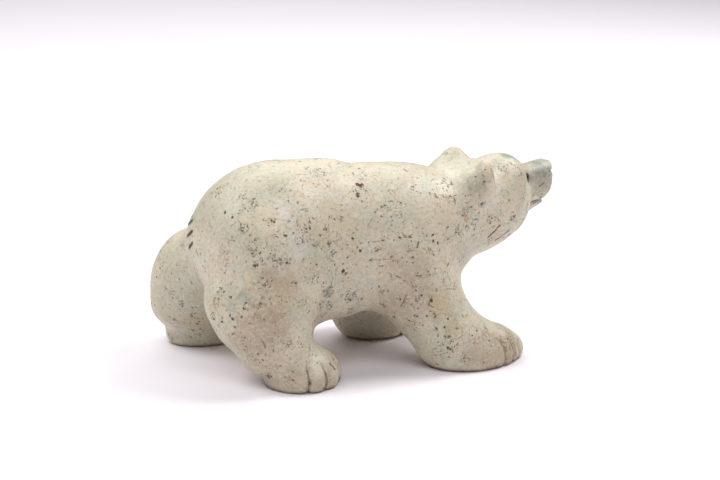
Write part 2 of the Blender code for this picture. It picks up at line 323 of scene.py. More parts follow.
def carved_form():
    """The node tree that fills a grid with the depth field and draws the stone's surface."""
    tree = bpy.data.node_groups.new("bear_form", "GeometryNodeTree")
    tree.interface.new_socket("Geometry", in_out="OUTPUT", socket_type="NodeSocketGeometry")
    for name, (kind, value) in form_values.items():
        tree.interface.new_socket(name, in_out="INPUT", socket_type=kind)
    given = tree.nodes.new("NodeGroupInput").outputs
    wires = Wires(tree)
    position = tree.nodes.new("GeometryNodeInputPosition").outputs[0]
    share = wires.vector("DIVIDE", given["Bear size"], FORM_SHARES)
    place = wires.vector("ADD", wires.vector("DIVIDE", position, share), MIDDLE)
    height = wires.parts(place)[2]

    # Trunk: rib cage, rump, loin, shoulders and neck
    form = wires.egg(place, (4.0, 0.0, 30.5), (28.0, 16.5, 18.8))
    form = wires.join(form, wires.egg(place, (-13.2, 0.0, 31.5), (22.4, 18.0, 19.2)), 6.0)
    form = wires.join(form, wires.egg(place, (-2.5, 0.0, 34.0), (13.0, 12.0, 16.0)), 5.0)
    form = wires.join(form, wires.egg(place, (18.0, 0.0, 30.8), (15.0, 16.0, 17.3)), 6.0)
    form = wires.join(
        form, wires.limb(place, (26.0, -0.5, 32.8), (36.0, 2.0, 37.0), 13.6, 10.5), 6.0
    )

    # Right hind leg: haunch, thigh, hock, shank and paw
    leg = wires.egg(place, (-17.0, -8.0, 29.0), (14.0, 12.5, 14.0))
    leg = wires.join(leg, wires.egg(place, (-20.0, -12.5, 18.0), (12.6, 11.0, 12.5)), 9.0)
    leg = wires.join(leg, wires.egg(place, (-29.3, -13.5, 20.5), (4.2, 4.8, 5.0)), 5.0)
    leg = wires.join(
        leg, wires.limb(place, (-19.6, -15.2, 16.0), (-18.2, -16.6, 11.5), 10.9, 9.3), 4.0
    )
    leg = wires.join(leg, wires.egg(place, (-22.6, -18.0, 6.4), (2.8, 4.2, 2.4)), 3.0)
    leg = wires.join(
        leg, wires.egg(place, (-11.6, -18.7, 2.6), (9.4, 8.3, 7.2), (0.0, 0.0, -8.0)), 4.0
    )
    form = wires.join(form, leg, 8.0)

    # Left hind leg, set further back and out
    leg = wires.egg(place, (-17.0, 8.0, 29.0), (14.0, 12.5, 13.0))
    leg = wires.join(
        leg, wires.limb(place, (-22.0, 9.0, 25.7), (-30.0, 15.0, 20.4), 11.3, 10.9), 6.0
    )
    leg = wires.join(leg, wires.egg(place, (-31.0, 16.5, 15.5), (12.5, 9.5, 14.0)), 6.0)
    leg = wires.join(leg, wires.egg(place, (-35.4, 16.0, 11.0), (7.6, 7.5, 5.2)), 4.0)
    leg = wires.join(
        leg, wires.egg(place, (-28.0, 20.5, 3.0), (11.8, 8.2, 8.0), (0.0, 0.0, 10.0)), 5.0
    )
    form = wires.join(form, leg, 7.0)

    # Flanks that carry the belly down to each thigh
    form = wires.join(
        form, wires.limb(place, (-12.0, -10.0, 19.0), (0.0, -8.0, 19.2), 7.0, 6.2), 7.0
    )
    form = wires.join(
        form, wires.limb(place, (-16.0, 10.0, 19.0), (-2.0, 8.0, 19.5), 7.0, 6.0), 7.0
    )

    # Right foreleg, reaching forward, and its paw
    leg = wires.limb(place, (16.2, -8.0, 25.0), (25.6, -14.0, 8.0), 11.2, 8.8)
    leg = wires.join(leg, wires.limb(place, (27.3, -13.6, 8.2), (38.0, -14.2, 4.2), 6.8, 4.9), 4.0)
    leg = wires.join(
        leg, wires.egg(place, (34.5, -13.8, 2.3), (12.8, 8.4, 6.3), (0.0, 0.0, 18.0)), 4.0
    )
    form = wires.join(form, leg, 8.0)

    # Left foreleg, upright, and its paw
    leg = wires.limb(place, (13.5, 10.0, 24.0), (11.4, 13.0, 8.5), 11.0, 9.2)
    leg = wires.join(
        leg, wires.egg(place, (16.0, 14.0, 3.0), (10.0, 7.8, 6.5), (0.0, 0.0, 8.0)), 4.0
    )
    form = wires.join(form, leg, 8.0)

    # Head, in its own turned frame: skull, cheeks, throat, muzzle, lower jaw and ears
    face = wires.local(place, HEAD_PLACE, [math.degrees(angle) for angle in HEAD_TURN])
    head = wires.egg(face, (2.2, 0.0, 0.7), (8.2, 8.8, 9.3))
    head = wires.join(head, wires.egg(face, (1.3, 4.0, -3.5), (6.5, 5.2, 6.8)), 4.0)
    head = wires.join(head, wires.egg(face, (1.3, -4.0, -3.5), (6.5, 5.2, 6.8)), 4.0)
    head = wires.join(head, wires.egg(face, (-6.0, 0.0, -5.2), (11.0, 10.5, 9.5)), 5.0)
    muzzle = wires.block(face, (11.0, 0.0, 0.8), (9.5, 4.1, 5.0), 3.3, (0.0, -4.5, 0.0))
    nose_offset = wires.vector("SUBTRACT", face, (12.0, 0.0, 0.0))
    nose_round = wires.vector("LENGTH", wires.vector("MULTIPLY", nose_offset, (1.0, 1.0, 0.0)))
    muzzle = wires.cut(muzzle, wires.number("SUBTRACT", 6.3, nose_round), 1.0)
    lip_slope = wires.vector("DOT_PRODUCT", face, (0.883, 0.0, -0.47))
    muzzle = wires.cut(muzzle, wires.number("SUBTRACT", 15.3, lip_slope), 1.6)
    head = wires.join(head, muzzle, 3.2)
    jaw = wires.block(face, (9.3, 0.0, -3.7), (6.4, 3.4, 3.4), 2.2, (0.0, -24.0, 0.0))
    head = wires.join(head, jaw, 1.5)
    head = wires.join(head, wires.egg(face, (-10.8, -6.8, 3.0), (4.2, 4.2, 5.8)), 4.0)
    head = wires.join(
        head, wires.egg(face, (-8.3, -8.3, 6.6), (2.2, 3.5, 4.7), (0.0, 0.0, -10.0)), 2.5
    )
    head = wires.join(head, wires.egg(face, (-9.0, 7.2, 3.2), (4.8, 4.4, 6.0)), 4.0)
    head = wires.join(
        head, wires.egg(face, (-6.2, 7.8, 5.6), (3.6, 4.4, 5.6), (0.0, -4.0, -10.0)), 3.0
    )
    head = wires.cut(head, wires.egg(face, (-4.6, -9.6, 6.0), (2.2, 3.4, 4.4)), 1.0)
    head = wires.cut(
        head, wires.egg(face, (-1.2, 9.3, 6.1), (2.4, 2.9, 3.6), (0.0, -6.0, -20.0)), 1.0
    )
    for side in (1.0, -1.0):
        dish = EYE_RADIUS + 2.0 * EYE_GAP + EYE_DISH
        middle = eye_spot(side) + eye_aim(side) * (dish - EYE_DISH)
        head = wires.cut(head, wires.egg(face, middle, (dish, dish, dish)), 0.5)
    form = wires.join(form, head, 6.0)

    # Tail: a small low drop on the rump
    form = wires.join(
        form, wires.egg(place, (-34.0, -0.5, 34.0), (2.0, 3.0, 5.6), (0.0, 12.0, 0.0)), 2.0
    )

    # Soft hollow between each haunch and the ribs
    for side in (-1.0, 1.0):
        hollow = wires.limb(place, (-16.0, 14.5 * side, 45.0), (-10.5, 20.5 * side, 32.0))
        form = wires.score(form, hollow, given["Flank hollow depth"], 3.6)

    # A faint saddle across the back, just behind the shoulders
    saddle = wires.limb(place, (4.6, -8.0, 47.5), (4.6, 8.0, 47.5))
    form = wires.score(form, saddle, given["Saddle depth"], 3.0)

    # A crease where the right ear's front edge meets the cheek
    crease = wires.limb(place, (39.9, -8.0, 48.0), (40.6, -7.4, 42.6))
    form = wires.score(form, crease, given["Ear crease depth"], 0.9)

    # Mouth, nose and toes, each a fine cut in a soft valley
    (mouth, mouth_mask), (nose, nose_mask) = face_lines(wires, place)
    form = wires.score(form, mouth, given["Mouth depth"], 0.42, mouth_mask)
    form = wires.score(form, nose, given["Nose line depth"], 0.38, nose_mask)
    for side, mask in toe_lines(wires, place):
        form = wires.score(form, side, given["Toe valley depth"], 1.1, mask)
        form = wires.score(form, side, given["Toe cut depth"], 0.36, mask)

    # The hand leaves slow waves and quick ripples in the ground surface
    seeded = wires.vector("ADD", place, given["Seed"])
    form = wires.swell(form, wires.cloud(seeded, 0.09, 1.0), given["Grinding waves"])
    form = wires.swell(form, wires.cloud(seeded, 0.33, 2.0), given["Tool ripples"])
    form = wires.number("ADD", form, given["Grinding allowance"])

    # Pits where soft grains fell out of the stone
    cell = wires.cells(seeded, 0.22)
    chance = wires.parts(cell.outputs["Color"])[0]
    pit = wires.valley(cell.outputs["Distance"], 0.09, wires.ramp(chance, 0.55, 0.6))
    form = wires.number("ADD", form, wires.number("MULTIPLY", pit, given["Pit depth"]))

    # Flat soles, with a small round at their edge
    form = wires.cut(form, height, 1.0)

    grid = tree.nodes.new("GeometryNodeVolumeCube")
    wires.feed(grid.inputs["Density"], wires.number("MULTIPLY", form, -1.0))
    grid.inputs["Background"].default_value = -1.0
    wires.feed(grid.inputs["Min"], wires.vector("MULTIPLY", share, STONE_LOW - MIDDLE))
    wires.feed(grid.inputs["Max"], wires.vector("MULTIPLY", share, STONE_HIGH - MIDDLE))
    for axis, span in zip("XYZ", STONE_HIGH - STONE_LOW):
        grid.inputs["Resolution " + axis].default_value = int(span / STONE_GRID)
    surface = tree.nodes.new("GeometryNodeVolumeToMesh")
    surface.inputs["Threshold"].default_value = 0.0
    wires.feed(surface.inputs["Volume"], grid.outputs["Volume"])
    whole = tree.nodes.new("GeometryNodeRealizeInstances")
    wires.feed(whole.inputs["Geometry"], surface.outputs["Mesh"])
    coloured = tree.nodes.new("GeometryNodeSetMaterial")
    wires.feed(coloured.inputs["Geometry"], whole.outputs["Geometry"])
    wires.feed(coloured.inputs["Material"], given["Stone"])
    wires.feed(tree.nodes.new("NodeGroupOutput").inputs[0], coloured.outputs["Geometry"])
    return tree


def plain_mesh(source):
    view = bpy.context.evaluated_depsgraph_get()
    return bpy.data.meshes.new_from_object(source.evaluated_get(view))


bear = bpy.data.objects.new("carved_bear", bpy.data.meshes.new("rough"))
carving = bear.modifiers.new("form", "NODES")
carving.node_group = carved_form()
for socket in carving.node_group.interface.items_tree:
    if socket.in_out == "INPUT":
        carving[socket.identifier] = form_values[socket.name][1]
scene.collection.objects.link(bear)
full_mesh = plain_mesh(bear)
full_mesh.calc_loop_triangles()
bear.modifiers.clear()
bear.data = full_mesh
bear.modifiers.new("triangles", "TRIANGULATE")
thin = bear.modifiers.new("thin", "DECIMATE")
thin.ratio = min(1.0, STONE_TRIANGLES / len(full_mesh.loop_triangles))

# The eye pockets are drilled close round the inlays
pockets = []
for side in (1.0, -1.0):
    pocket_radius = EYE_RADIUS + EYE_SEAT_GAP
    pocket_floor = -EYE_DEPTH - EYE_SEAT_GAP
    pocket_mouth = 2.0 * EYE_RADIUS
    outline = [(0.0, pocket_floor), (pocket_radius, pocket_floor)]
    outline += [(pocket_radius, pocket_mouth), (0.0, pocket_mouth)]
    pocket_mesh = turned(outline, EYE_SIDES)
    pocket_mesh.transform(eye_matrix(side))
    pocket = bpy.data.objects.new("pocket", pocket_mesh)
    scene.collection.objects.link(pocket)
    pockets.append(pocket)
    drill = bear.modifiers.new("pocket", "BOOLEAN")
    drill.operation = "DIFFERENCE"
    drill.solver = "EXACT"
    drill.object = pocket
bear_mesh = plain_mesh(bear)
bear.modifiers.clear()
for pocket in pockets:
    bpy.data.objects.remove(pocket, do_unlink=True)
bear_mesh.transform(Matrix.Scale(MM, 4))
bear_mesh.polygons.foreach_set("use_smooth", [True] * len(bear_mesh.polygons))
bear_mesh.polygons.foreach_set("material_index", [0] * len(bear_mesh.polygons))
bear_mesh.set_sharp_from_angle(angle=SHARP_ANGLE)
bear_mesh.materials.clear()
bear_mesh.materials.append(stone)
bear.data = bear_mesh
bpy.context.view_layer.update()


def seen_at(pixel_x, pixel_y):
    """The place on the stone that the photo shows at a pixel, in the carving's millimetres."""
    reach = camera_data.sensor_width / camera_data.lens / photo_width
    sight = Vector(
        ((pixel_x - photo_width / 2) * reach, (photo_height / 2 - pixel_y) * reach, -1.0)
    )
    sight = camera.rotation_euler.to_matrix() @ sight
    met, place, _, _ = bear.ray_cast(camera.location, sight.normalized())
    if not met:
        raise ValueError(f"no stone is seen at {pixel_x}, {pixel_y}")
    return place / MM + MIDDLE


# Colours of the stone, with its stains and flecks, and a dark brown for painted shade
CREAM = (0.65, 0.58, 0.445, 1.0)
STRAW = (0.63, 0.53, 0.36, 1.0)
CHALK = (0.72, 0.67, 0.54, 1.0)
GREY_GREEN = (0.47, 0.48, 0.36, 1.0)
PALE_GREEN = (0.54, 0.54, 0.41, 1.0)
PINK_TAN = (0.45, 0.34, 0.23, 1.0)
OCHRE = (0.56, 0.43, 0.22, 1.0)
LAVENDER = (0.70, 0.66, 0.61, 1.0)
MOSS = (0.42, 0.40, 0.28, 1.0)
SLATE_GREEN = (0.30, 0.30, 0.24, 1.0)
TEAL = (0.17, 0.27, 0.25, 1.0)
RUST = (0.46, 0.21, 0.08, 1.0)
BLUE_GREY = (0.27, 0.30, 0.29, 1.0)
GRAIN_BROWN = (0.33, 0.26, 0.18, 1.0)
DARK_BROWN = (0.060, 0.036, 0.026, 1.0)
DARK_GREEN = (0.042, 0.058, 0.030, 1.0)
# A dark brown painted into the cuts and along the soles as shade
PAINTED_SHADE_BROWN = (0.16, 0.12, 0.09, 1.0)
RED_BROWN = (0.11, 0.035, 0.022, 1.0)

# Broad patches: pixel in the photo, radius in millimetres, colour and strength
patches = (
    ((277, 297), 8.0, PINK_TAN, 0.75),
    ((285, 325), 5.0, PINK_TAN, 0.5),
    ((255, 336), 7.5, PINK_TAN, 0.75),
    ((412, 300), 8.5, PINK_TAN, 0.65),
    ((405, 262), 6.0, PINK_TAN, 0.4),
    ((505, 350), 7.0, PINK_TAN, 0.8),
    ((480, 356), 6.0, PINK_TAN, 0.5),
    ((320, 385), 8.0, PINK_TAN, 0.55),
    ((270, 380), 8.0, PINK_TAN, 0.45),
    ((453, 328), 2.4, OCHRE, 0.5),
    ((440, 305), 4.0, OCHRE, 0.4),
    ((245, 187), 1.6, OCHRE, 0.35),
    ((213, 305), 2.2, OCHRE, 0.35),
    ((262, 222), 6.0, STRAW, 0.5),
    ((330, 225), 6.0, STRAW, 0.5),
    ((345, 255), 5.0, STRAW, 0.4),
    ((300, 312), 5.0, GREY_GREEN, 0.45),
    ((330, 306), 4.0, GREY_GREEN, 0.35),
    ((185, 290), 10.0, GREY_GREEN, 0.5),
    ((444, 208), 6.0, STRAW, 0.35),
    ((232, 307), 1.8, SLATE_GREEN, 0.3),
    ((536, 188), 5.5, MOSS, 0.85),
    # Painted shade in the right ear's hollow, over a greener tone of the stone
    ((476, 183), 3.4, MOSS, 0.75),
    ((540, 166), 5.0, SLATE_GREEN, 0.95),
    ((546, 163), 1.6, GREY_GREEN, 0.5),
    ((536, 163), 1.5, TEAL, 0.75),
    ((542, 168), 1.0, TEAL, 0.4),
    ((514, 157), 2.0, TEAL, 0.85),
    ((506, 155.4), 1.8, TEAL, 0.7),
    # Painted light: the pale jaw is made paler still to lift the shade under the muzzle
    ((533, 203), 2.4, CHALK, 0.95),
    # Painted highlight on the cheek along the right ear's rim
    ((498, 174), 1.3, CHALK, 0.7),
    ((499, 185), 1.6, CHALK, 0.6),
    # Painted shade, a little greener, on the left foreleg under the belly
    ((367, 331), 7.0, SLATE_GREEN, 0.5),
    ((243.5, 298), 1.7, TEAL, 0.3),
    ((328, 292), 1.7, SLATE_GREEN, 0.5),
    # Painted highlight: a pale lavender streak along the hollow between the right haunch and the
    # ribs
    ((279, 203), 1.4, LAVENDER, 0.65),
    ((284, 212), 1.4, LAVENDER, 0.65),
    ((289, 221), 1.6, LAVENDER, 0.5),
    ((296, 236), 2.2, LAVENDER, 0.35),
    ((300, 248), 2.6, LAVENDER, 0.4),
    ((496, 200), 1.2, LAVENDER, 0.6),
    ((316, 366), 3.0, CHALK, 0.85),
    ((464.4, 214.6), 0.8, RUST, 0.7),
    ((466, 219.6), 0.8, RUST, 0.7),
    ((196, 322), 3.0, OCHRE, 0.5),
)

# Dark pits that stand out: pixel in the photo and radius in millimetres
dark_pits = {
    "rump": (
        (225.4, 212.4, 0.36), (232.9, 216.7, 0.24), (248, 211, 0.2), (202.4, 231.7, 0.22),
        (241, 227.8, 0.22), (248, 226.5, 0.18), (243.2, 231, 0.18), (244, 242.6, 0.18),
    ),
    "haunch": (
        (256.9, 248.1, 0.18), (260.4, 253.1, 0.24), (252, 253.2, 0.2), (246, 261.9, 0.2),
        (254.6, 265.4, 0.42), (257.4, 265.2, 0.32), (225, 272.6, 0.24), (231, 284, 0.2),
        (221.4, 280.7, 0.2), (232.9, 261.4, 0.14), (285.4, 296.4, 0.14), (285, 313.3, 0.16),
        (286.7, 262.6, 0.3),
    ),
    "thigh": (
        (243.6, 308.6, 0.34), (245.7, 302.9, 0.26), (230, 315.7, 0.28), (232.9, 319.3, 0.32),
        (241.4, 317, 0.28), (235, 327, 0.26), (222, 322, 0.34), (214, 319, 0.32), (250, 323, 0.18),
    ),
    "ribs": (
        (271.4, 220.5, 0.28), (274, 222.6, 0.24), (275.6, 234, 0.24), (277, 237, 0.22),
        (284.6, 235.4, 0.36), (286, 235.6, 0.3), (326.4, 228.9, 0.22), (352.6, 238.6, 0.28),
        (328.6, 243.6, 0.32), (347.9, 245, 0.18), (360.3, 250.7, 0.3), (309.3, 222, 0.26),
    ),
    "flank": (
        (343.3, 263.6, 0.28), (343, 271.2, 0.5), (345.4, 273.4, 0.3), (371, 260, 0.3),
        (316.4, 264.3, 0.22), (310, 270.7, 0.2), (371.9, 288.4, 0.22), (361.7, 298.9, 0.24),
        (350, 300.3, 0.3), (309.3, 311.4, 0.26), (320, 305, 0.2), (329, 305.4, 0.2),
    ),
    "chips": (
        (358, 184.6, 0.6), (360.4, 186, 0.5), (362, 184.4, 0.34),
        (358, 196.4, 0.46), (357.6, 193.8, 0.3),
        (192, 316, 0.24), (195.4, 313.6, 0.16),
        (197, 324, 0.3), (199.6, 321.4, 0.2), (193, 330, 0.24),
        (200.8, 329, 0.2), (203, 318, 0.14), (190.4, 322.6, 0.14),
    ),
    "saddle": (
        (385.2, 205.2, 0.3), (390.7, 201.1, 0.26), (400.7, 203.1, 0.2), (380, 168.7, 0.14),
    ),
    "neck": (
        (476, 176.9, 0.26), (511.4, 164, 0.2), (482, 203.6, 0.34), (513.5, 216, 0.3),
        (511.6, 219, 0.26), (474, 229.7, 0.28), (475.7, 219.3, 0.24), (513.6, 192.9, 0.14),
    ),
    "shoulder": (
        (447.9, 227.1, 0.28), (447, 236.4, 0.24), (433, 235, 0.34), (433.1, 241, 0.36),
        (437.9, 242.9, 0.34), (433.1, 255, 0.24), (433, 251, 0.18), (399.7, 237.4, 0.3),
        (389, 227.9, 0.18), (393.9, 240.7, 0.14), (410, 236.4, 0.26), (427, 236.4, 0.22),
        (388, 220.7, 0.18), (392.9, 220.7, 0.16),
    ),
    "chest": (
        (412.9, 257.4, 0.36), (407, 261.4, 0.2), (413.3, 262.9, 0.2), (435, 268.6, 0.18),
        (430, 275, 0.24), (408, 283.9, 0.18), (415.3, 290, 0.18),
        (422, 295, 0.2), (453.3, 276.4, 0.16),
    ),
    "foreleg": (
        (431.4, 300, 0.32), (412, 304, 0.22), (418.3, 308.9, 0.26), (393.9, 316.9, 0.4),
        (417, 316.4, 0.22), (435.3, 316.9, 0.24), (447.9, 318.6, 0.26), (436, 328, 0.32),
        (445, 328, 0.3), (448.3, 347.8, 0.32), (450.6, 349.2, 0.3), (437, 364, 0.3),
        (472, 335.5, 0.24), (477, 331, 0.22), (474.4, 343, 0.22), (489.4, 340.5, 0.22),
    ),
    "hind paw": ((269, 377.6, 0.26), (263, 360, 0.22), (266, 366, 0.22), (310, 383, 0.4)),
}

# Clusters of fine specks: pixel in the photo and radius in millimetres
speck_clusters = (
    (242.5, 197.5, 1.1), (253, 204, 1.3), (242.5, 208, 1.0), (244, 228.5, 1.3), (231, 240, 0.9),
    (256.5, 240, 0.9), (248, 248, 0.7), (253, 253, 1.0), (272.5, 257.5, 1.2), (281, 260.7, 1.0),
    (286.7, 262.6, 0.9), (272, 221, 1.0), (276.4, 235, 1.0),
    (326.4, 228.5, 1.0), (341, 218.6, 0.8),
    (315, 244.3, 0.8), (328.6, 243.6, 0.8),
    (294.3, 283.6, 0.8), (328, 292, 1.7), (350, 296.6, 1.6),
    (321, 305, 1.2), (329, 305.4, 1.2), (221, 292, 1.2), (216, 302, 1.0), (213, 316.4, 1.0),
    (182, 303, 0.9), (378, 249, 1.0), (382, 291.4, 0.7), (446.4, 197, 0.9), (482, 203.6, 1.1),
    (491, 219, 1.3), (512.9, 216.8, 1.3), (456.4, 229.3, 0.9),
    (467, 228, 1.0), (460.7, 234.3, 1.0),
    (408.6, 249, 0.9), (428.6, 250, 0.8), (404.3, 302, 1.4), (383, 305, 1.0), (358.5, 190, 1.8),
)

# Cracks and strokes: the pixels at both ends, half the width in millimetres, and how dark
dark_strokes = (
    ((188.6, 224.4), (191.9, 220.7), 0.36, 1.0),
    ((187.8, 235.8), (192.1, 231.4), 0.34, 1.0),
    ((189.4, 247.7), (192.4, 242.9), 0.34, 1.0),
    ((196.4, 250.2), (197.9, 255.0), 0.14, 0.5),
    ((332.0, 255.2), (336.2, 252.2), 0.12, 0.7),
    ((370.7, 260.0), (386.0, 259.0), 0.07, 0.35),
    ((386.0, 259.0), (400.0, 260.6), 0.07, 0.35),
    ((379.6, 266.0), (383.0, 266.0), 0.14, 0.6),
    ((396.4, 275.7), (400.3, 278.0), 0.12, 0.7),
    ((368.0, 225.7), (372.4, 218.6), 0.16, 0.35),
    ((403.6, 169.0), (406.6, 171.3), 0.12, 0.8),
    ((434.6, 193.6), (437.4, 197.6), 0.13, 0.7),
    ((454.0, 197.4), (455.4, 203.3), 0.13, 0.75),
    ((418.4, 242.3), (417.0, 247.3), 0.16, 0.8),
    ((448.8, 263.4), (447.4, 265.8), 0.16, 0.8),
    ((416.4, 275.4), (421.0, 275.8), 0.12, 0.7),
    ((406.5, 295.0), (401.0, 306.0), 0.10, 0.6),
    ((432.0, 296.4), (428.6, 304.6), 0.10, 0.75),
    ((428.6, 304.6), (433.0, 307.0), 0.10, 0.75),
    ((435.7, 291.3), (449.5, 288.8), 0.09, 0.6),
    ((449.5, 288.8), (456.2, 289.4), 0.09, 0.5),
    ((487.9, 237.5), (499.8, 225.3), 0.16, 1.0),
    ((495.8, 239.9), (508.6, 230.4), 0.16, 1.0),
    ((262.4, 341.0), (265.6, 348.0), 0.12, 0.6),
    # Painted shade in the toe lines of the right hind paw
    ((329.6, 362.8), (334.2, 369.2), 0.15, 0.9),
    ((334.2, 369.2), (340.0, 379.0), 0.15, 0.9),
    ((308.3, 391.6), (310.0, 382.0), 0.13, 0.7),
    ((310.0, 382.0), (307.0, 371.0), 0.12, 0.6),
    ((324.8, 389.0), (327.8, 382.0), 0.13, 0.7),
    ((327.8, 382.0), (325.0, 372.0), 0.12, 0.6),
    # Painted shade in the toe lines of the right fore paw
    ((495.5, 338.0), (505.5, 348.0), 0.12, 0.4),
    ((505.5, 348.0), (505.5, 363.0), 0.13, 0.4),
    ((505.5, 336.0), (514.0, 344.4), 0.12, 0.4),
    ((514.0, 344.4), (515.0, 354.4), 0.12, 0.4),
    ((539.4, 186.2), (543.6, 183.2), 0.14, 0.8),
    # Painted shade along the crease at the right ear's front rim
    ((488.6, 163.6), (491.6, 170.0), 0.08, 0.4),
    ((491.6, 170.0), (493.4, 178.0), 0.10, 0.5),
    # Painted shade in the mouth line
    ((534.0, 200.6), (541.0, 197.0), 0.14, 0.8),
)


def polish_group():
    """Colourless effect of hand polish: gloss and fine lie of a surface, both changing slowly."""
    tree = bpy.data.node_groups.new("hand_polish", "ShaderNodeTree")
    for name, kind in (
        ("Place", "NodeSocketVector"),
        ("Scale", "NodeSocketFloat"),
        ("Bright", "NodeSocketFloat"),
        ("Dull", "NodeSocketFloat"),
    ):
        tree.interface.new_socket(name, in_out="INPUT", socket_type=kind)
    tree.interface.new_socket("Roughness", in_out="OUTPUT", socket_type="NodeSocketFloat")
    tree.interface.new_socket("Grain", in_out="OUTPUT", socket_type="NodeSocketFloat")
    given = tree.nodes.new("NodeGroupInput").outputs
    wires = Wires(tree)
    rubbed = wires.cloud(given["Place"], given["Scale"], 4.0, 0.65)
    gloss = wires.ramp(rubbed.outputs[0], 0.3, 0.7, given["Bright"], given["Dull"])
    result = tree.nodes.new("NodeGroupOutput").inputs
    wires.feed(result["Roughness"], gloss)
    wires.feed(result["Grain"], rubbed.outputs[0])
    return tree


polish_tree = polish_group()


def polish(wires, place, scale, bright, dull):
    node = wires.tree.nodes.new("ShaderNodeGroup")
    node.node_tree = polish_tree
    for name, value in (("Place", place), ("Scale", scale), ("Bright", bright), ("Dull", dull)):
        wires.feed(node.inputs[name], value)
    return node.outputs["Roughness"], node.outputs["Grain"]


def object_place(wires, scale, middle):
    """Object coordinates moved to the middle of the pattern, then made that many times larger."""
    coordinates = wires.tree.nodes.new("ShaderNodeTexCoord").outputs["Object"]
    node = wires.tree.nodes.new("ShaderNodeMapping")
    wires.feed(node.inputs["Vector"], coordinates)
    node.inputs["Location"].default_value = Vector(middle) / scale
    return wires.vector("MULTIPLY", node.outputs["Vector"], (scale, scale, scale))


